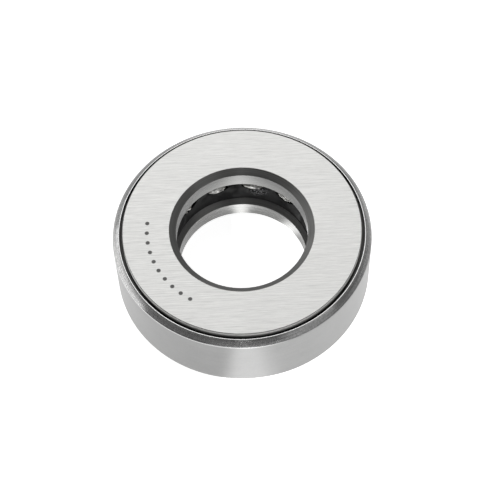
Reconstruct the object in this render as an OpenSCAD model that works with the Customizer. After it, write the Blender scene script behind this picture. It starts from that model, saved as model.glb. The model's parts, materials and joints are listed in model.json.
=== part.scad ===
// Single-direction thrust ball bearing, held together by a rolled steel band.
// Millimetres. The origin is on the bore axis, level with the lower washer's bottom face, +Z up.
// The band is pressed on the lower washer, and its inturned lip keeps the upper washer captive.

/* [Envelope] */
// Diameter of the bore through both washers
bore_d = 25.654; // [25.25:0.002:25.9]
// Outside diameter of the steel band
outer_d = 50.4; // [50.3:0.05:50.6]
// Height from the bottom face to the top face
height = 15.875; // [15.775:0.005:15.975]

/* [Upper washer] */
// Thickness from the top face to the land beside the ball groove
upper_t = 4.75; // [4.7:0.05:4.8]
// Diameter of the neck that stands inside the lip
neck_d = 46.4; // [46.2:0.1:46.6]
// Depth of the retained shoulder below the top face
shoulder_depth = 2.3; // [2.2:0.05:2.5]
// Diameter of the shoulder below the lip
shoulder_d = 48.3; // [48.2:0.05:48.4]
// Width and depth of the chamfer on the neck's top edge
neck_chamfer = 0.12; // [0.1:0.01:0.3]

/* [Lower washer] */
// Thickness from the bottom face to the land beside the ball groove
lower_t = 5.25; // [5.2:0.05:5.3]
// Diameter of the bottom face, inside the band's inturned flange
foot_d = 45.0; // [44:0.25:46]

/* [Bore chamfers] */
// Width of the chamfer on the top face
top_chamfer_w = 1.3; // [0.8:0.05:1.4]
// Depth of the chamfer on the top face
top_chamfer_h = 0.9; // [0.6:0.05:1.1]
// Width of the chamfers that face the balls
inner_chamfer_w = 1.1; // [0.6:0.05:1.2]
// Depth of the chamfers that face the balls
inner_chamfer_h = 0.8; // [0.5:0.05:1]
// Width and depth of the chamfer on the bottom face
bottom_chamfer = 1.25; // [0.8:0.05:1.4]

/* [Steel band] */
// Thickness of the sheet
sheet_t = 0.75; // [0.7:0.05:0.75]
// Depth of the lip's crest below the top face
crest_depth = 0.74; // [0.6:0.02:0.8]
// Diameter where the crest meets the bevel
crest_d = 48.05; // [48:0.05:48.2]
// Width of the flat rim on the crest
rim_w = 0.15; // [0.1:0.01:0.2]
// How far each end of the bevel turns away from a straight slope
bevel_bulge = 7; // [2:1:10]
// Depth of the bevel's lower edge below the top face
bevel_depth = 1.86; // [1.75:0.01:1.9]
// Outside radius of the bend at the bottom
bottom_bend_r = 1.4; // [1.2:0.1:1.6]
// Height of the inturned flange above the bottom face
foot_gap = 0.3; // [0.2:0.05:0.4]

/* [Balls] */
// Ball diameter
ball_d = 7.938; // [7.9:0.002:7.95]
// Number of balls
ball_count = 12; // [10:1:12]
// Diameter of the circle through the ball centres
pitch_d = 37.5; // [37.3:0.1:37.6]
// Angle of the first ball from +X
first_ball = 19; // [0:1:29]
// Groove radius over ball diameter
conformity = 0.52; // [0.515:0.005:0.53]
// Running clearance between a ball and each groove
ball_play = 0.03; // [0.02:0.01:0.05]

/* [Ball cage] */
// Inside diameter of the cage
cage_bore_d = 27.2; // [27:0.1:27.4]
// Outside diameter of the cage
cage_outer_d = 47.4; // [47:0.1:47.6]
// Gap between the cage and each washer's land
cage_gap = 0.37; // [0.3:0.01:0.5]
// Clearance between a ball and its pocket
pocket_play = 0.15; // [0.1:0.01:0.2]
// Height of the scallops' lowest point above the ball centres
scallop_h = 0.7; // [0.4:0.1:1.2]
// Radius of the scallops in the cage's upper edge
scallop_r = 2.7; // [2.4:0.1:2.9]
// Radius on the cage's inner and outer edges
cage_edge_r = 0.35; // [0.2:0.05:0.5]

/* [Hidden] */
function ball_name(i) = str("ball_", i < 10 ? "0" : "", i);
$fn = 180;
ARC_STEPS = 8;         // flats along a small bend in an outline

bore_r = bore_d / 2;
outer_r = outer_d / 2;
neck_r = neck_d / 2;
shoulder_r = shoulder_d / 2;
shoulder_z = height - shoulder_depth;
upper_land_z = height - upper_t;
lower_land_z = lower_t;
ball_z = (upper_land_z + lower_land_z) / 2;
ball_r = ball_d / 2;
pitch_r = pitch_d / 2;
groove_r = conformity * ball_d;
groove_offset = groove_r - ball_r - ball_play;

band_inner_r = outer_r - sheet_t;
band_foot_z = foot_gap;
flange_top_z = foot_gap + sheet_t;
foot_r = foot_d / 2;
foot_clearance = 0.15;  // between the washer's foot and the band's inturned edge
inner_bend_r = 0.6;     // inside radius of the band's bottom bend
bend_relief = 0.7;      // chamfer on the washer that clears the inside bend
crest_z = height - crest_depth;
crest_r = crest_d / 2;
lip_r = crest_r - rim_w;
bevel_z = height - bevel_depth;
bevel_angle = atan2(crest_z - bevel_z, outer_r - crest_r);
lip_under_z = crest_z - 0.9;    // bottom of the lip's trimmed end face
bevel_edge_r = 0.45;            // round between the skirt and the bevel
crest_edge_r = 0.1;             // round between the bevel and the rim
bevel_heading = 180 - bevel_angle;

cage_low_z = lower_land_z + cage_gap;
cage_high_z = upper_land_z - cage_gap;
pocket_r = ball_r + pocket_play;

// Points along an arc about [x, y], both ends included
function arc(x, y, r, from, to) =
    [for (i = [0:ARC_STEPS]) let (a = from + (to - from) * i / ARC_STEPS) [x + r * cos(a), y + r * sin(a)]];

// Points of a round of radius r that turns from heading a to heading b at the corner [x, y], anticlockwise
function round_corner(x, y, r, a, b) =
    let (half = (b - a) / 2, middle = (a + b) / 2 + 90, reach = r / cos(half))
    arc(x + reach * cos(middle), y + reach * sin(middle), r, a - 90, b - 90);

// The middle stretch of an outline that bulges by an even turn of 2 * bulge between two points, anticlockwise
function bulging(from, to, bulge) =
    let (
        span = to - from,
        r = norm(span) / 2 / sin(bulge),
        heading = atan2(span[1], span[0]),
        centre = from + r * [-sin(heading - bulge), cos(heading - bulge)]
    )
    arc(centre[0], centre[1], r, heading - 90 - bulge * 0.7, heading - 90 + bulge * 0.7);

// What a round of radius r takes off the corner [x, y] of an outline whose solid lies towards [side_x, side_y]
module corner_waste(x, y, r, side_x, side_y) {
    centre = [x + side_x * r, y + side_y * r];
    difference() {
        translate([(x + centre[0]) / 2, (y + centre[1]) / 2]) square([r + 0.001, r + 0.001], center = true);
        translate(centre) circle(r);
    }
}

module upper_washer() {
    color([0.86, 0.86, 0.85]) rotate_extrude() difference() {
        polygon([
            [bore_r, upper_land_z + inner_chamfer_h],
            [bore_r + inner_chamfer_w, upper_land_z],
            [shoulder_r, upper_land_z],
            [shoulder_r, shoulder_z],
            [neck_r, shoulder_z],
            [neck_r, height - neck_chamfer],
            [neck_r - neck_chamfer, height],
            [bore_r + top_chamfer_w, height],
            [bore_r, height - top_chamfer_h]
        ]);
        translate([pitch_r, ball_z - groove_offset]) circle(groove_r);
    }
}

module lower_washer() {
    color([0.8, 0.8, 0.8]) rotate_extrude() difference() {
        polygon([
            [bore_r, bottom_chamfer],
            [bore_r + bottom_chamfer, 0],
            [foot_r, 0],
            [foot_r, flange_top_z],
            [band_inner_r - bend_relief, flange_top_z],
            [band_inner_r, flange_top_z + bend_relief],
            [band_inner_r, lower_land_z],
            [bore_r + inner_chamfer_w, lower_land_z],
            [bore_r, lower_land_z - inner_chamfer_h]
        ]);
        translate([pitch_r, ball_z + groove_offset]) circle(groove_r);
    }
}

// The band's outline: outside from the foot to the crest, then back down the inside
module outer_shell() {
    color([0.74, 0.75, 0.75]) rotate_extrude() polygon(concat(
        [[foot_r + foot_clearance, band_foot_z]],
        round_corner(outer_r, band_foot_z, bottom_bend_r, 0, 90),
        round_corner(outer_r, bevel_z, bevel_edge_r, 90, bevel_heading - bevel_bulge),
        bulging([outer_r, bevel_z], [crest_r, crest_z], bevel_bulge),
        round_corner(crest_r, crest_z, crest_edge_r, bevel_heading + bevel_bulge, 180),
        [
            [lip_r, crest_z],
            [lip_r, lip_under_z],
            [band_inner_r, lip_under_z - (band_inner_r - lip_r) * tan(bevel_angle)]
        ],
        arc(band_inner_r - inner_bend_r, flange_top_z + inner_bend_r, inner_bend_r, 0, -90),
        [[foot_r + foot_clearance, flange_top_z]]
    ));
}

// Places its children at ball i, with +X pointing outward along the ball's radius
module at_ball(i) {
    rotate(first_ball + (i - 1) * 360 / ball_count) translate([pitch_r, 0, ball_z]) children();
}

module ball_cage() {
    scallop_z = scallop_h + scallop_r;
    color([0.07, 0.07, 0.075]) difference() {
        rotate_extrude() difference() {
            translate([cage_bore_d / 2, cage_low_z])
                square([(cage_outer_d - cage_bore_d) / 2, cage_high_z - cage_low_z]);
            for (x = [cage_bore_d / 2, cage_outer_d / 2], y = [cage_low_z, cage_high_z])
                corner_waste(x, y, cage_edge_r, x > pitch_r ? -1 : 1, y > ball_z ? -1 : 1);
        }
        for (i = [1:ball_count]) at_ball(i) {
            sphere(pocket_r);
            translate([-pitch_r / 2, 0, scallop_z]) rotate([0, 90, 0]) cylinder(r = scallop_r, h = pitch_r);
        }
    }
}

module ball(i) {
    color([0.9, 0.9, 0.9]) at_ball(i) sphere(ball_r);
}

upper_washer();
lower_washer();
outer_shell();
ball_cage();
for (i = [1:ball_count]) ball(i);
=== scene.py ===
"""Looks of a thrust ball bearing: materials, grease, floor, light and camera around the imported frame."""
import json
import math
import random

import bmesh
import bpy
from mathutils import Matrix, Vector, noise

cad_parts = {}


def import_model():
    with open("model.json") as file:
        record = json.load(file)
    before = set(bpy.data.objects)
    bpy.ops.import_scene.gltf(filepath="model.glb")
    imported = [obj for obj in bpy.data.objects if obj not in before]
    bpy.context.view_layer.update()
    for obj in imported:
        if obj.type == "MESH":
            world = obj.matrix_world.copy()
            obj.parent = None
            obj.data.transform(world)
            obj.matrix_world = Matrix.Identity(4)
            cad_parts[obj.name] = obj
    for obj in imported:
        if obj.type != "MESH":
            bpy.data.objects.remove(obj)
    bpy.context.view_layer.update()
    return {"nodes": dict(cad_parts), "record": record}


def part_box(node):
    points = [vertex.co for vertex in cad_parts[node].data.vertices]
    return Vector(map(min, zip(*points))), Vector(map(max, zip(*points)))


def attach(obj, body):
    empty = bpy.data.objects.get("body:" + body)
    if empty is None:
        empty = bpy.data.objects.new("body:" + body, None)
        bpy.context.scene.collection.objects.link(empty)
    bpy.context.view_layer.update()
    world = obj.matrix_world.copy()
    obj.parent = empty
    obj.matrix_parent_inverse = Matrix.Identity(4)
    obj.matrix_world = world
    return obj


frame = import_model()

MM = 0.001


# ---------------------------------------------------------------- sizes from the frame
def least_radius(node, above_z):
    """The radius about the bore axis of a node's innermost corner above a height."""
    return min(math.hypot(v.co.x, v.co.y) for v in frame["nodes"][node].data.vertices if v.co.z > above_z)


TOP_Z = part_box("upper_washer")[1].z
MIDDLE_Z = TOP_Z / 2
CREST_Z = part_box("outer_shell")[1].z
BORE_R = frame["record"]["mounts"][0]["dims"]["r_mm"] * MM
HAIR = 0.01 * MM             # the crest's corners lie within this of its height
LIP_R = least_radius("outer_shell", CREST_Z - HAIR)    # of the lip's trimmed end
CAGE_R = least_radius("ball_cage", 0.0)                # of the cage's inside wall


# ---------------------------------------------------------------- node helpers
class Nodes:
    """A short way to write a material's node tree."""

    def __init__(self, tree):
        self.tree = tree
        self.tree.nodes.clear()

    def add(self, kind, **settings):
        node = self.tree.nodes.new(kind)
        for key, value in settings.items():
            setattr(node, key, value)
        return node

    def link(self, source, target):
        self.tree.links.new(source, target)

    def feed(self, socket, value):
        """Links a socket, or sets a constant."""
        if isinstance(value, bpy.types.NodeSocket):
            self.link(value, socket)
        else:
            socket.default_value = value

    def math(self, operation, a, b=0.0):
        node = self.add("ShaderNodeMath", operation=operation)
        self.feed(node.inputs[0], a)
        self.feed(node.inputs[1], b)
        return node.outputs[0]

    def plus(self, a, b):
        return self.math("ADD", a, b)

    def minus(self, a, b):
        return self.math("SUBTRACT", a, b)

    def times(self, a, b):
        return self.math("MULTIPLY", a, b)

    def over(self, a, b):
        return self.math("DIVIDE", a, b)

    def absolute(self, a):
        return self.math("ABSOLUTE", a)

    def above(self, a, b):
        """1 where a is above b, 0 elsewhere."""
        return self.math("GREATER_THAN", a, b)

    def below(self, a, b):
        """1 where a is below b, 0 elsewhere."""
        return self.math("LESS_THAN", a, b)

    def hypot(self, a, b):
        """The length of the vector (a, b)."""
        return self.math("SQRT", self.plus(self.times(a, a), self.times(b, b)))

    def blend(self, first, *others):
        """Adds up pairs of a value and its share."""
        total = self.times(*first)
        for pair in others:
            total = self.plus(total, self.times(*pair))
        return total

    def combine(self, x, y, z):
        node = self.add("ShaderNodeCombineXYZ")
        for socket, value in zip(node.inputs, (x, y, z)):
            self.feed(socket, value)
        return node.outputs[0]

    def separate(self, vector):
        node = self.add("ShaderNodeSeparateXYZ")
        self.link(vector, node.inputs[0])
        return node.outputs

    def coordinates(self, kind="Object"):
        return self.add("ShaderNodeTexCoord").outputs[kind]

    def noise(self, vector, scale=1.0, detail=2.0, roughness=0.5, distortion=0.0):
        node = self.add("ShaderNodeTexNoise")
        self.link(vector, node.inputs["Vector"])
        node.inputs["Scale"].default_value = scale
        node.inputs["Detail"].default_value = detail
        node.inputs["Roughness"].default_value = roughness
        node.inputs["Distortion"].default_value = distortion
        return node.outputs["Fac"]

    def remap(self, value, low, high, to_low, to_high, smooth=True):
        node = self.add("ShaderNodeMapRange")
        node.interpolation_type = "SMOOTHSTEP" if smooth else "LINEAR"
        self.feed(node.inputs["Value"], value)
        ends = {"From Min": low, "From Max": high, "To Min": to_low, "To Max": to_high}
        for name, number in ends.items():
            self.feed(node.inputs[name], number)
        return node.outputs["Result"]

    def fade_in(self, value, low, high):
        """Rises from 0 at low to 1 at high."""
        return self.remap(value, low, high, 0.0, 1.0)

    def fade_out(self, value, low, high):
        """Falls from 1 at low to 0 at high."""
        return self.remap(value, low, high, 1.0, 0.0)

    def mix(self, factor, a, b):
        """Mixes two numbers."""
        node = self.add("ShaderNodeMix", data_type="FLOAT")
        self.feed(node.inputs[0], factor)
        self.feed(node.inputs[2], a)
        self.feed(node.inputs[3], b)
        return node.outputs[0]

    def grey(self, value, tint=(1.0, 1.0, 1.0)):
        """A colour: one number times a tint."""
        parts = [self.times(value, share) for share in tint]
        node = self.add("ShaderNodeCombineColor")
        for socket, part in zip(node.inputs, parts):
            self.link(part, socket)
        return node.outputs[0]

    def bump(self, height, strength, distance):
        node = self.add("ShaderNodeBump")
        self.link(height, node.inputs["Height"])
        node.inputs["Strength"].default_value = strength
        node.inputs["Distance"].default_value = distance
        return node.outputs["Normal"]


def new_material(name):
    material = bpy.data.materials.new(name)
    material.use_nodes = True
    return material, Nodes(material.node_tree)


def principled(nodes, **sockets):
    """The closing shader: numbers are set on the shader itself, and what varies is linked."""
    shader = nodes.add("ShaderNodeBsdfPrincipled")
    for name, value in sockets.items():
        nodes.feed(shader.inputs[name.replace("_", " ")], value)
    out = nodes.add("ShaderNodeOutputMaterial")
    nodes.link(shader.outputs[0], out.inputs["Surface"])


def polar(nodes):
    """Object coordinates, and the matching radius and angle about the bore axis."""
    x, y, z = nodes.separate(nodes.coordinates())
    return x, y, z, nodes.hypot(x, y), nodes.math("ARCTAN2", y, x)


# ---------------------------------------------------------------- patterns and directions
# A pair is a range. A pattern's values between WIDE, NARROW or THIN are spread over a range of shades
# or of roughness: the thinner that first range, the harder the contrast.
WIDE = (0.3, 0.7)
NARROW = (0.35, 0.65)
THIN = (0.38, 0.62)
RING_DRIFT = 60.0            # how fast a turned ring changes around the part, per metre
QUARTER_TURN = 0.25          # turns an anisotropic highlight across its tangent


def turned_lines(nodes, x, y, z, radius, pitch):
    """Fine rings left by turning: they change fast along the profile and slowly around it."""
    rings = nodes.combine(nodes.over(radius, pitch), nodes.over(z, pitch), 0.0)
    drift = nodes.combine(nodes.times(x, RING_DRIFT), nodes.times(y, RING_DRIFT), 0.0)
    total = nodes.add("ShaderNodeVectorMath", operation="ADD")
    nodes.link(rings, total.inputs[0])
    nodes.link(drift, total.inputs[1])
    return nodes.noise(total.outputs[0], detail=3.0, roughness=0.6)


def streaks(nodes, x, y, length, pitch, layer, **look):
    """Straight streaks along X. Each layer is another pattern."""
    return nodes.noise(nodes.combine(nodes.over(x, length), nodes.over(y, pitch), layer), **look)


def ring_tangent(nodes):
    """Points around the bore axis at every place on the surface."""
    return nodes.add("ShaderNodeTangent", direction_type="RADIAL", axis="Z").outputs[0]


def streak_tangent(nodes, flat):
    """Points along the straight grinding streaks where flat is 1, and around the bore axis elsewhere."""
    along = nodes.add("ShaderNodeVectorTransform", vector_type="VECTOR")
    along.convert_from = "OBJECT"
    along.convert_to = "WORLD"
    along.inputs[0].default_value = (1.0, 0.0, 0.0)
    choice = nodes.add("ShaderNodeMix", data_type="VECTOR")
    nodes.link(flat, choice.inputs[0])
    nodes.link(ring_tangent(nodes), choice.inputs[4])
    nodes.link(along.outputs[0], choice.inputs[5])
    return choice.outputs[1]


# ---------------------------------------------------------------- washers
# How level a surface is: 1 where it faces straight up or down, 0 on a wall.
FLAT_AT = (0.95, 0.99)       # the ground finish of an end face fades in between these
WALL_BELOW = 0.2             # less level than this is a wall
LEVEL_ABOVE = 0.9            # more level than this is an end face or the shoulder
GRIND_PITCH = 0.10 * MM      # width of one grinding streak
GRIND_LENGTH = 3 * MM        # length of one grinding streak
LONG_PITCH = 2.5 * GRIND_PITCH
LONG_LENGTH = 3 * GRIND_LENGTH
TURN_PITCH = 0.16 * MM       # width of one turned ring
FACE_DEPTH = 0.05 * MM       # how deep the ground finish of an end face reaches
GROUND_SHADE = (0.54, 0.91)
GROUND_ROUGH = (0.36, 0.46)
BORE_REACH = 1.01            # the bore's finish ends at this many bore radii
BORE_SHADE = (0.19, 0.30)
BORE_ROUGH = (0.24, 0.34)
LOWER_BORE = 0.9             # share of that shade that the lower washer's bore keeps
UPPER_BORE = 0.45            # and the upper one's, less: painted shade that makes the upper bore darker
SCALE_SHADE = (0.13, 0.19)   # of the dark scale on chamfers and sides
SCALE_ROUGH = 0.36
NECK_WIDTH = 1.5 * MM        # how far inside the lip's radius the neck's part of the washer begins
NECK_TOP = 0.1 * MM          # depth at which the painted shade on the neck's wall begins
NECK_EDGE_DEPTH = 0.13 * MM  # depth of the chamfer on the neck's top edge
NECK_SHADE = 0.95            # of the neck's wall where it meets its chamfer, painted bright above the painted shade
NECK_EDGE_SHADE = 0.3        # of that chamfer
NECK_ROUGH = 0.75
PAINTED_GAP_DEPTH = 1.8 * MM    # depth at which the painted shade makes the gap inside the lip as good as black
PAINTED_GAP_SHADE = 0.015            # painted shade of a wall that deep in the gap
SHOULDER_SHADE = 0.3         # of the shoulder at the bottom of the gap
WASHER_TINT = (1.0, 1.0, 0.98)
MARK_R = 18.4 * MM           # radius of the row of etched dots
MARK_COUNT = 10
MARK_FROM = math.radians(174)
MARK_TO = math.radians(236)
MARK_DOT_R = 0.42 * MM
MARK_EDGE = (0.85 * MARK_DOT_R, 1.1 * MARK_DOT_R)    # a dot fades out between these radii
MARK_SHADE = 0.2
MARK_ROUGH = 0.6


def etched_dots(nodes, radius, angle):
    """1 inside round dots in a row on an arc, 0 elsewhere: a plain stand-in for the etched marking."""
    turn = nodes.plus(angle, nodes.times(nodes.below(angle, 0.0), 2 * math.pi))
    step = (MARK_TO - MARK_FROM) / (MARK_COUNT - 1)
    place = nodes.over(nodes.minus(turn, MARK_FROM), step)
    nearest = nodes.math("MAXIMUM", nodes.math("ROUND", place), 0.0)
    nearest = nodes.math("MINIMUM", nearest, MARK_COUNT - 1.0)
    along = nodes.times(nodes.minus(place, nearest), step * MARK_R)
    across = nodes.minus(radius, MARK_R)
    return nodes.fade_out(nodes.hypot(along, across), *MARK_EDGE)


def neck_painted_shades(nodes, z, level):
    """The gap's inner side: a bright edge, a wall with painted shade that darkens it downward into the
    gap, and the shoulder below it.
    """
    shade = nodes.remap(z, TOP_Z - NECK_TOP, TOP_Z - PAINTED_GAP_DEPTH, NECK_SHADE, PAINTED_GAP_SHADE)
    shade = nodes.mix(nodes.above(z, TOP_Z - NECK_EDGE_DEPTH), shade, NECK_EDGE_SHADE)
    return nodes.mix(nodes.above(level, LEVEL_ABOVE), shade, SHOULDER_SHADE)


def washer_steel(name, with_marks):
    """Ground flat faces with straight streaks, a honed bore, dark scale on chamfers, painted shade that
    darkens the gap inside the lip, and an upper bore with painted shade, darker than the lower one.
    """
    material, nodes = new_material(name)
    x, y, z, radius, angle = polar(nodes)
    normal = nodes.separate(nodes.coordinates("Normal"))
    level = nodes.absolute(normal[2])
    end_face = nodes.math("MAXIMUM", nodes.above(z, TOP_Z - FACE_DEPTH), nodes.below(z, FACE_DEPTH))
    flat = nodes.times(nodes.fade_in(level, *FLAT_AT), end_face)
    bore = nodes.times(nodes.below(level, WALL_BELOW), nodes.below(radius, BORE_R * BORE_REACH))
    neck = nodes.above(radius, LIP_R - NECK_WIDTH)

    fine = streaks(nodes, x, y, GRIND_LENGTH, GRIND_PITCH, 0.0,
                   detail=5.0, roughness=0.75, distortion=0.04)
    long = streaks(nodes, x, y, LONG_LENGTH, LONG_PITCH, 3.0, detail=3.0, roughness=0.6)
    ground = nodes.blend((fine, 0.6), (long, 0.4))
    turned = turned_lines(nodes, x, y, z, radius, TURN_PITCH)

    ground_shade = nodes.remap(ground, *NARROW, *GROUND_SHADE, smooth=False)
    # painted shade: the upper washer's bore is painted darker than the lower washer's
    painted_bore_dim = nodes.mix(nodes.above(z, MIDDLE_Z), LOWER_BORE, UPPER_BORE)
    bore_shade = nodes.times(nodes.remap(turned, *WIDE, *BORE_SHADE, smooth=False), painted_bore_dim)
    scale_shade = nodes.remap(turned, *WIDE, *SCALE_SHADE, smooth=False)
    # painted shade: the neck's wall darkens down into the gap inside the lip, to near black
    scale_shade = nodes.mix(neck, scale_shade, neck_painted_shades(nodes, z, level))
    shade = nodes.mix(flat, nodes.mix(bore, scale_shade, bore_shade), ground_shade)

    scale_rough = nodes.mix(neck, SCALE_ROUGH, NECK_ROUGH)
    turned_rough = nodes.mix(bore, scale_rough, nodes.remap(turned, *WIDE, *BORE_ROUGH))
    rough = nodes.mix(flat, turned_rough, nodes.remap(ground, *WIDE, *GROUND_ROUGH))
    if with_marks:
        marks = nodes.times(etched_dots(nodes, radius, angle), nodes.above(normal[2], LEVEL_ABOVE))
        shade = nodes.mix(marks, shade, MARK_SHADE)
        rough = nodes.mix(marks, rough, MARK_ROUGH)
    height = nodes.mix(flat, turned, ground)
    principled(nodes, Base_Color=nodes.grey(shade, WASHER_TINT), Metallic=1.0, Roughness=rough,
               Anisotropic=0.85, Anisotropic_Rotation=QUARTER_TURN, Tangent=streak_tangent(nodes, flat),
               Normal=nodes.bump(height, strength=0.25, distance=0.004 * MM))
    return material


# ---------------------------------------------------------------- band
DRAWN_PITCH = 0.12 * MM      # width of one ring that drawing left on the skirt
ROLLED_PITCH = 0.3 * MM      # width of one ring that rolling left on the bevel
SKIRT_SHADE = (0.30, 0.44)
SKIRT_ROUGH = (0.32, 0.42)
BEVEL_AT = (0.5, 0.6)        # how level the surface is where the skirt's look fades into the bevel's
BEVEL_SHADE = (0.26, 0.46)
BEVEL_ROUGH = 0.26
SCUFF_RATE = 90.0            # scuffs in one radian around the band
SCUFF_WIDTH = 0.6 * MM
SCUFF_SPAN = (0.32, 0.68)    # values of the scuffs' pattern that are spread over the bevel's shades
ROLLED_GAIN = (0.72, 1.28)   # how much a rolled ring dims or lifts the bevel's shade
PAINTED_SHADE_Y = (4 * MM, 12 * MM)     # the bevel's painted shade fades in towards the back between these
PAINTED_SHADE_X = (3 * MM, 15 * MM)     # and towards either side between these
PAINTED_SHADE_MIDDLE = 0.15        # share of the painted shade in the middle
PAINTED_SHADE_KEEP = 0.5          # share of the bevel's shade that is left where the painted shade is full
CORNER_START = (0.05, 0.2)   # how level the surface is where the corner below the bevel begins
CORNER_END = (0.55, 0.62)    # and where it ends
CORNER_HIGHLIGHT_X = (1 * MM, 10 * MM)      # the corner's painted highlight fades out to the right between these
CORNER_HIGHLIGHT_SHADE = 0.62
CORNER_HIGHLIGHT_ROUGH = 0.2
EDGE_WIDTH = 0.09 * MM       # width of the lip's trimmed edge: bare steel with a painted highlight
EDGE_SHADE_AND_HIGHLIGHT = (0.3, 1.0)
NICK_RATE = 160.0            # nicks in one radian along that edge
NICK_SPAN = (0.36, 0.5)      # values of the nicks' pattern that are spread over the edge's shades
INWARD = -0.3                # a surface whose normal leans this far to the axis is inside the lip
INSIDE_PAINTED_DEPTHS = (0.6 * MM, 0.1 * MM)    # its painted shade lifts between these depths below the crest
INSIDE_PAINTED_SHADE = (PAINTED_GAP_SHADE, 0.25)
BAND_TINT = (1.0, 1.0, 0.995)


def painted_back_shade_gain(nodes, x, y):
    """How much of the bevel's shade the painted shade leaves: all in front, less at the back's two sides.
    """
    sides = nodes.remap(nodes.absolute(x), *PAINTED_SHADE_X, PAINTED_SHADE_MIDDLE, 1.0)
    painted_back_shade = nodes.times(nodes.fade_in(y, *PAINTED_SHADE_Y), sides)
    return nodes.remap(painted_back_shade, 0.0, 1.0, 1.0, PAINTED_SHADE_KEEP, smooth=False)


def band_steel():
    """Sheet steel: a satin skirt, a scuffed bevel with painted shade towards the back, a painted highlight
    on the corner, a nicked edge with a painted highlight, and painted shade inside.
    """
    material, nodes = new_material("band_steel")
    x, y, z, radius, angle = polar(nodes)
    normal = nodes.separate(nodes.coordinates("Normal"))
    upper_half = nodes.above(z, MIDDLE_Z)
    drawn = turned_lines(nodes, x, y, z, radius, DRAWN_PITCH)
    clouds = nodes.noise(nodes.coordinates(), scale=140.0, detail=4.0, roughness=0.6)
    grain = nodes.noise(nodes.coordinates(), scale=2600.0, detail=3.0, roughness=0.6)
    satin = nodes.blend((drawn, 0.4), (clouds, 0.4), (grain, 0.2))
    skirt_shade = nodes.remap(satin, *WIDE, *SKIRT_SHADE, smooth=False)

    bevel = nodes.times(nodes.fade_in(normal[2], *BEVEL_AT), upper_half)
    scuff_place = nodes.combine(nodes.times(angle, SCUFF_RATE), nodes.over(radius, SCUFF_WIDTH), 0.0)
    scuffs = nodes.noise(scuff_place, detail=4.0, roughness=0.75, distortion=0.4)
    rolled = turned_lines(nodes, x, y, z, radius, ROLLED_PITCH)
    bevel_shade = nodes.remap(scuffs, *SCUFF_SPAN, *BEVEL_SHADE, smooth=False)
    # painted shade: the bevel is painted darker towards the back
    bevel_shade = nodes.times(bevel_shade, painted_back_shade_gain(nodes, x, y))
    bevel_shade = nodes.times(bevel_shade, nodes.remap(rolled, *NARROW, *ROLLED_GAIN, smooth=False))
    shade = nodes.mix(bevel, skirt_shade, bevel_shade)

    corner = nodes.times(nodes.fade_in(normal[2], *CORNER_START), nodes.fade_out(normal[2], *CORNER_END))
    # painted highlight: the corner below the bevel is painted brighter and given a lower roughness, fading
    # out to the right
    corner_highlight = nodes.times(nodes.times(corner, upper_half), nodes.fade_out(x, *CORNER_HIGHLIGHT_X))
    shade = nodes.mix(corner_highlight, shade, CORNER_HIGHLIGHT_SHADE)

    # the trimmed edge: bright bare steel, and a painted highlight along the crest, broken by nicks
    trimmed = nodes.times(nodes.below(radius, LIP_R + EDGE_WIDTH), nodes.above(z, CREST_Z - EDGE_WIDTH))
    nick_place = nodes.combine(nodes.times(angle, NICK_RATE), 0.0, 0.0)
    nicks = nodes.noise(nick_place, detail=3.0, roughness=0.7)
    shade = nodes.mix(trimmed, shade, nodes.remap(nicks, *NICK_SPAN, *EDGE_SHADE_AND_HIGHLIGHT))
    # painted shade inside the lip: darkest deep in the gap, lighter near the crest
    outward = nodes.plus(nodes.times(normal[0], x), nodes.times(normal[1], y))
    inside = nodes.below(outward, INWARD * LIP_R)
    inside_from, inside_to = [CREST_Z - depth for depth in INSIDE_PAINTED_DEPTHS]
    shade = nodes.mix(inside, shade, nodes.remap(z, inside_from, inside_to, *INSIDE_PAINTED_SHADE))

    rough = nodes.mix(bevel, nodes.remap(satin, *WIDE, *SKIRT_ROUGH), BEVEL_ROUGH)
    rough = nodes.mix(corner_highlight, rough, CORNER_HIGHLIGHT_ROUGH)
    principled(nodes, Base_Color=nodes.grey(shade, BAND_TINT), Metallic=1.0, Roughness=rough,
               Anisotropic=0.8, Anisotropic_Rotation=QUARTER_TURN, Tangent=ring_tangent(nodes),
               Normal=nodes.bump(nodes.mix(bevel, satin, scuffs), strength=0.15, distance=0.005 * MM))
    return material


# ---------------------------------------------------------------- cage and balls
# black plastic, and painted shade: darker than plastic is, for the shade inside the bore
CAGE_BLACK_AND_SHADE = (0.003, 0.008)
CAGE_ROUGH = (0.35, 0.65)
CAGE_TINT = (1.0, 1.0, 1.02)
SMEAR_BY = "ball_03"         # the ball whose pocket has grease wiped out of it
SMEAR_TURN = math.radians(4)      # how far round from that ball the smear's centre is
SMEAR_RISE = 1.0 * MM        # how far above that ball's centre it is
SMEAR_R = 2.6 * MM           # how far the smear reaches
SMEAR_CORE = 0.3             # share of that reach where it is full
# grease smeared on the cage, painted pale partly as a stand-in for its glints
SMEAR_SHADE_AND_GLINT = 0.45
SMEAR_ROUGH = 0.15
STRAND_WIDTH = 0.035         # of the smear's strands, in the swirls' own values
BALL_SHADE = (0.62, 0.78)
BALL_ROUGH = (0.06, 0.2)


def ball_middle(name):
    """The azimuth and the height of a ball's centre."""
    low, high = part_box(name)
    return math.atan2(low.y + high.y, low.x + high.x), (low.z + high.z) / 2


def smear_centre():
    """A point on the cage's inside wall beside one of its pockets."""
    azimuth, height = ball_middle(SMEAR_BY)
    azimuth -= SMEAR_TURN
    return (CAGE_R * math.cos(azimuth), CAGE_R * math.sin(azimuth), height + SMEAR_RISE)


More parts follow.
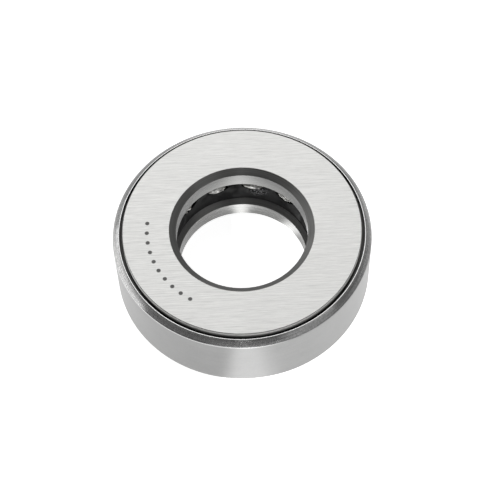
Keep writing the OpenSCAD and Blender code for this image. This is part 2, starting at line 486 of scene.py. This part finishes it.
def grease_smear(nodes, coordinates):
    """1 on the strands of grease smeared on the cage, 0 elsewhere."""
    across = nodes.add("ShaderNodeVectorMath", operation="DISTANCE")
    nodes.link(coordinates, across.inputs[0])
    across.inputs[1].default_value = smear_centre()
    around = nodes.fade_out(across.outputs["Value"], SMEAR_CORE * SMEAR_R, SMEAR_R)
    swirl = nodes.noise(coordinates, scale=700.0, detail=3.0, roughness=0.6, distortion=1.6)
    return nodes.times(around, nodes.fade_out(nodes.absolute(nodes.minus(swirl, 0.5)), 0.0, STRAND_WIDTH))


def cage_plastic():
    """Black moulded plastic, painted darker still for the shade inside the bore, with a thin wet film of
    grease.
    """
    material, nodes = new_material("cage_plastic")
    coordinates = nodes.coordinates()
    film = nodes.noise(coordinates, scale=420.0, detail=4.0, roughness=0.6, distortion=0.6)
    grain = nodes.noise(coordinates, scale=2600.0, detail=2.0)
    smear = grease_smear(nodes, coordinates)
    shade = nodes.mix(smear, nodes.remap(film, *WIDE, *CAGE_BLACK_AND_SHADE), SMEAR_SHADE_AND_GLINT)
    rough = nodes.mix(smear, nodes.remap(film, *THIN, *CAGE_ROUGH), SMEAR_ROUGH)
    height = nodes.plus(nodes.plus(film, nodes.times(grain, 0.2)), smear)
    principled(nodes, Base_Color=nodes.grey(shade, CAGE_TINT), Metallic=0.0, Roughness=rough,
               IOR=1.2, Specular_IOR_Level=0.15,
               Normal=nodes.bump(height, strength=0.5, distance=0.05 * MM))
    return material


def ball_steel():
    """Lapped steel under an uneven film of grease."""
    material, nodes = new_material("ball_steel")
    film = nodes.noise(nodes.coordinates(), scale=500.0, detail=3.0, roughness=0.55, distortion=0.8)
    shade = nodes.remap(film, *WIDE, *BALL_SHADE)
    rough = nodes.remap(film, *NARROW, *BALL_ROUGH)
    principled(nodes, Base_Color=nodes.grey(shade), Metallic=1.0, Roughness=rough,
               Normal=nodes.bump(film, strength=0.3, distance=0.02 * MM))
    return material


# ---------------------------------------------------------------- the CAD nodes' materials
def dress(node, material):
    """Gives a CAD node its material on every slot."""
    data = frame["nodes"][node].data
    data.materials.clear()
    data.materials.append(material)
    for face in data.polygons:
        face.material_index = 0


dress("upper_washer", washer_steel("upper_washer_steel", with_marks=True))
dress("lower_washer", washer_steel("lower_washer_steel", with_marks=False))
dress("outer_shell", band_steel())
dress("ball_cage", cage_plastic())
polished = ball_steel()
BALLS = sorted(name for name in frame["nodes"] if name.startswith("ball_") and name != "ball_cage")
for name in BALLS:
    dress(name, polished)


# ---------------------------------------------------------------- grease
SEED = 7
# The grease sits in each scallop, between the cage's inside wall and the ball.
GREASE_R = 14.25 * MM
GREASE_Z_ABOVE_BALL = 1.45 * MM
GREASE_SHADE_AND_GLINT = (0.3, 0.85)
GREASE_TINT = (1.0, 0.98, 0.93)
LUMP_DEPTH = 0.7 * MM        # half of a lump's reach along the radius
LUMP_WIDTH = 2.4 * MM        # and around the bore, for a lump of size 1
LUMP_HEIGHT = 0.95 * MM      # and upward
LUMP_SHIFT = (0.05, 0.5, 0.12)    # how far a lump is moved at most in each direction, in mm
LUMP_WAVES = ((0.34, 1.3), (0.16, 3.4))    # depth and pace of the noises that pull a lump out of round
NOISE_FIELD = (50, 50, 50)   # sides of the field in which each lump picks its noise
BIG_LUMP = (0.8, 1.0)
SMALL_LUMP = (0.4, 0.6)
SMALL_LUMP_TURN = 0.12       # how far round from its ball a small lump sits at most, in radians
WIPED = {"ball_05": 0.55}    # how much grease is left by a ball where some has been wiped off


def grease_material():
    """Pale grey bearing grease, wet and streaky, painted paler partly as a stand-in for its glints."""
    material, nodes = new_material("grease")
    swirls = nodes.noise(nodes.coordinates(), scale=900.0, detail=4.0, roughness=0.6, distortion=1.5)
    shade = nodes.remap(swirls, *THIN, *GREASE_SHADE_AND_GLINT)
    principled(nodes, Base_Color=nodes.grey(shade, GREASE_TINT), Roughness=0.16, Specular_IOR_Level=0.6,
               Coat_Weight=0.6, Coat_Roughness=0.08,
               Normal=nodes.bump(swirls, strength=0.8, distance=0.12 * MM))
    return material


def grease_lump(mesh_builder, azimuth, height, size, draw):
    """One lump: a ball of paste pulled out of round by a soft noise field."""
    half = Vector((LUMP_DEPTH, LUMP_WIDTH * size, LUMP_HEIGHT * size))
    shift = Vector([draw.uniform(-reach, reach) for reach in LUMP_SHIFT]) * MM
    offset = Vector([draw.uniform(0, side) for side in NOISE_FIELD])
    turn = Matrix.Rotation(azimuth, 4, "Z")
    made = bmesh.ops.create_icosphere(mesh_builder, subdivisions=4, radius=1.0)
    for vertex in made["verts"]:
        way = vertex.co.normalized()
        swell = sum((depth * noise.noise(way * pace + offset) for depth, pace in LUMP_WAVES), 1.0)
        local = Vector((way.x * half.x, way.y * half.y, way.z * half.z)) * swell + shift
        vertex.co = turn @ (local + Vector((GREASE_R, 0.0, height)))


def grease():
    """Two lumps by each ball, in one mesh that goes round with the cage."""
    draw = random.Random(SEED)
    builder = bmesh.new()
    for name in BALLS:
        azimuth, height = ball_middle(name)
        height += GREASE_Z_ABOVE_BALL
        left = WIPED.get(name, 1.0)
        grease_lump(builder, azimuth, height, left * draw.uniform(*BIG_LUMP), draw)
        aside = azimuth + draw.uniform(-SMALL_LUMP_TURN, SMALL_LUMP_TURN)
        grease_lump(builder, aside, height, left * draw.uniform(*SMALL_LUMP), draw)
    mesh = bpy.data.meshes.new("grease")
    builder.to_mesh(mesh)
    builder.free()
    mesh.polygons.foreach_set("use_smooth", [True] * len(mesh.polygons))
    mesh.materials.append(grease_material())
    piece = bpy.data.objects.new("grease", mesh)
    bpy.context.scene.collection.objects.link(piece)
    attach(piece, "cage")


grease()


# ---------------------------------------------------------------- floor
FLOOR_HALF = 1.5             # half of the floor's side
FLOOR_GREY = 0.6
FLOOR_LEVEL = 0.90           # glow of the plain floor, so that it stays white where it is shaded
RIGHT_LEVEL = 0.22           # painted light: how much brighter the floor is on the right
RIGHT_X = (0.0, 12 * MM)     # it brightens between these
FAR = (60 * MM, 120 * MM)    # painted shade: the glow fades between these distances, outside the picture
FAR_LEVEL = 0.5              # share of the glow that is left there
PATH_LEFT = (-7 * MM, -2 * MM)    # a soft path of light painted on the floor in front fades in between these
PATH_RIGHT = (1 * MM, 10 * MM)    # and out between these
PATH_LEVEL = 0.8
BORE_PATH_HALF_WIDTH = 2.0 * MM   # the same painted path inside the bore, where it is narrow and strong
BORE_PATH_LEVEL = 3.2
BORE_PATH_Y = (6 * MM, 9 * MM)    # that path falls to its own level between these
BORE_PATH_GAIN = 2.2         # from this many times as much
POOL = (8.3 * MM, 8.2 * MM)  # a pool of light painted on the floor inside the bore, where the left lamp would throw it
POOL_R = 2.8 * MM
POOL_LEVEL = 3.2


def floor_glow_and_painted_light(nodes):
    """How brightly the floor glows: white all over, with painted light where it is brighter near the
    bearing and painted shade where it fades far out.
    """
    x, y = nodes.separate(nodes.coordinates())[:2]
    plain = nodes.remap(x, *RIGHT_X, FLOOR_LEVEL, FLOOR_LEVEL + RIGHT_LEVEL)
    plain = nodes.times(plain, nodes.remap(nodes.hypot(x, y), *FAR, 1.0, FAR_LEVEL))
    path = nodes.times(nodes.remap(x, *PATH_LEFT, 0.0, PATH_LEVEL), nodes.fade_out(x, *PATH_RIGHT))
    path = nodes.times(path, nodes.below(y, -BORE_R))
    in_bore = nodes.times(nodes.above(y, 0.0), nodes.below(y, BORE_R))
    bore_path = nodes.remap(nodes.absolute(x), 0.0, BORE_PATH_HALF_WIDTH, BORE_PATH_LEVEL, 0.0)
    bore_path = nodes.times(bore_path, in_bore)
    bore_path = nodes.times(bore_path, nodes.remap(y, *BORE_PATH_Y, BORE_PATH_GAIN, 1.0))
    off_pool = nodes.hypot(nodes.minus(x, POOL[0]), nodes.minus(y, POOL[1]))
    pool = nodes.remap(off_pool, 0.0, POOL_R, POOL_LEVEL, 0.0)
    return nodes.plus(nodes.plus(plain, path), nodes.plus(bore_path, pool))


def floor():
    """A white floor with a soft glow of its own, and painted light and shade in that glow."""
    low, high = -FLOOR_HALF, FLOOR_HALF
    mesh = bpy.data.meshes.new("floor")
    mesh.from_pydata([(low, low, 0), (high, low, 0), (high, high, 0), (low, high, 0)], [], [(0, 1, 2, 3)])
    plane = bpy.data.objects.new("floor", mesh)
    bpy.context.scene.collection.objects.link(plane)
    material, nodes = new_material("floor")
    principled(nodes, Base_Color=(FLOOR_GREY, FLOOR_GREY, FLOOR_GREY, 1.0), Roughness=0.9,
               Emission_Color=(1.0, 1.0, 1.0, 1.0), Emission_Strength=floor_glow_and_painted_light(nodes))
    mesh.materials.append(material)


floor()


# ---------------------------------------------------------------- light
WORLD_SPAN = (-0.6, 0.6)     # the studio's walls brighten between these directions, front to back
WORLD_LEVEL = (0.2, 0.3)
LAMP_DISTANCE = 0.8


def world():
    scene_world = bpy.data.worlds.new("studio")
    bpy.context.scene.world = scene_world
    scene_world.use_nodes = True
    nodes = Nodes(scene_world.node_tree)
    y = nodes.separate(nodes.coordinates("Generated"))[1]
    background = nodes.add("ShaderNodeBackground")
    nodes.link(nodes.grey(nodes.remap(y, *WORLD_SPAN, *WORLD_LEVEL)), background.inputs["Color"])
    out = nodes.add("ShaderNodeOutputWorld")
    nodes.link(background.outputs[0], out.inputs["Surface"])


def softbox(name, azimuth, elevation, width, height, radiance):
    """An oblong area light that faces the bearing, as bright as radiance when seen in a mirror."""
    light = bpy.data.lights.new(name, "AREA")
    light.shape = "RECTANGLE"
    light.size = width
    light.size_y = height
    light.energy = radiance * math.pi * width * height
    lamp = bpy.data.objects.new(name, light)
    bpy.context.scene.collection.objects.link(lamp)
    a = math.radians(azimuth)
    e = math.radians(elevation)
    place = Vector((math.cos(e) * math.cos(a), math.cos(e) * math.sin(a), math.sin(e))) * LAMP_DISTANCE
    lamp.location = place + Vector((0, 0, MIDDLE_Z))
    lamp.rotation_euler = place.to_track_quat("Z", "Y").to_euler()


world()
softbox("overhead_back", azimuth=95, elevation=59, width=0.9, height=0.8, radiance=1.0)
softbox("back_low", azimuth=105, elevation=27, width=0.9, height=0.3, radiance=1.6)
softbox("left_fill", azimuth=170, elevation=8, width=0.75, height=0.2, radiance=2.7)
softbox("right_fill", azimuth=318, elevation=31, width=0.5, height=0.4, radiance=0.6)
softbox("front_low", azimuth=270, elevation=5, width=0.75, height=0.1, radiance=2.6)
softbox("front_key", azimuth=268, elevation=46, width=0.06, height=0.06, radiance=5.0)

# ---------------------------------------------------------------- camera
CAMERA_ELEVATION = math.radians(58.5)
CAMERA_DISTANCE = 302.6 * MM
CAMERA_ROLL = math.radians(-2.4)
CAMERA_LENS = 114.75
SENSOR_WIDTH = 36.0
NEAREST_SEEN = 0.01
FARTHEST_SEEN = 20.0
AIM_RIGHT = -0.53 * MM       # how far the view's centre lies to the right of the bearing's own centre
AIM_UP = 1.82 * MM           # and above it, both in the picture's plane


def camera():
    """The photograph's camera, a little rolled, in front of the bearing and above it."""
    data = bpy.data.cameras.new("camera")
    data.lens = CAMERA_LENS
    data.sensor_width = SENSOR_WIDTH
    data.clip_start = NEAREST_SEEN
    data.clip_end = FARTHEST_SEEN
    back = Vector((0.0, -math.cos(CAMERA_ELEVATION), math.sin(CAMERA_ELEVATION)))
    level_right = Vector((1.0, 0.0, 0.0))
    level_up = back.cross(level_right)
    right = level_right * math.cos(CAMERA_ROLL) + level_up * math.sin(CAMERA_ROLL)
    up = level_up * math.cos(CAMERA_ROLL) - level_right * math.sin(CAMERA_ROLL)
    target = Vector((0.0, 0.0, MIDDLE_Z)) + right * AIM_RIGHT + up * AIM_UP
    facing = Matrix((right, up, back)).transposed().to_4x4()
    eye = bpy.data.objects.new("camera", data)
    bpy.context.scene.collection.objects.link(eye)
    eye.matrix_world = Matrix.Translation(target + back * CAMERA_DISTANCE) @ facing
    bpy.context.scene.camera = eye


camera()
bpy.context.scene.view_settings.view_transform = "Standard"
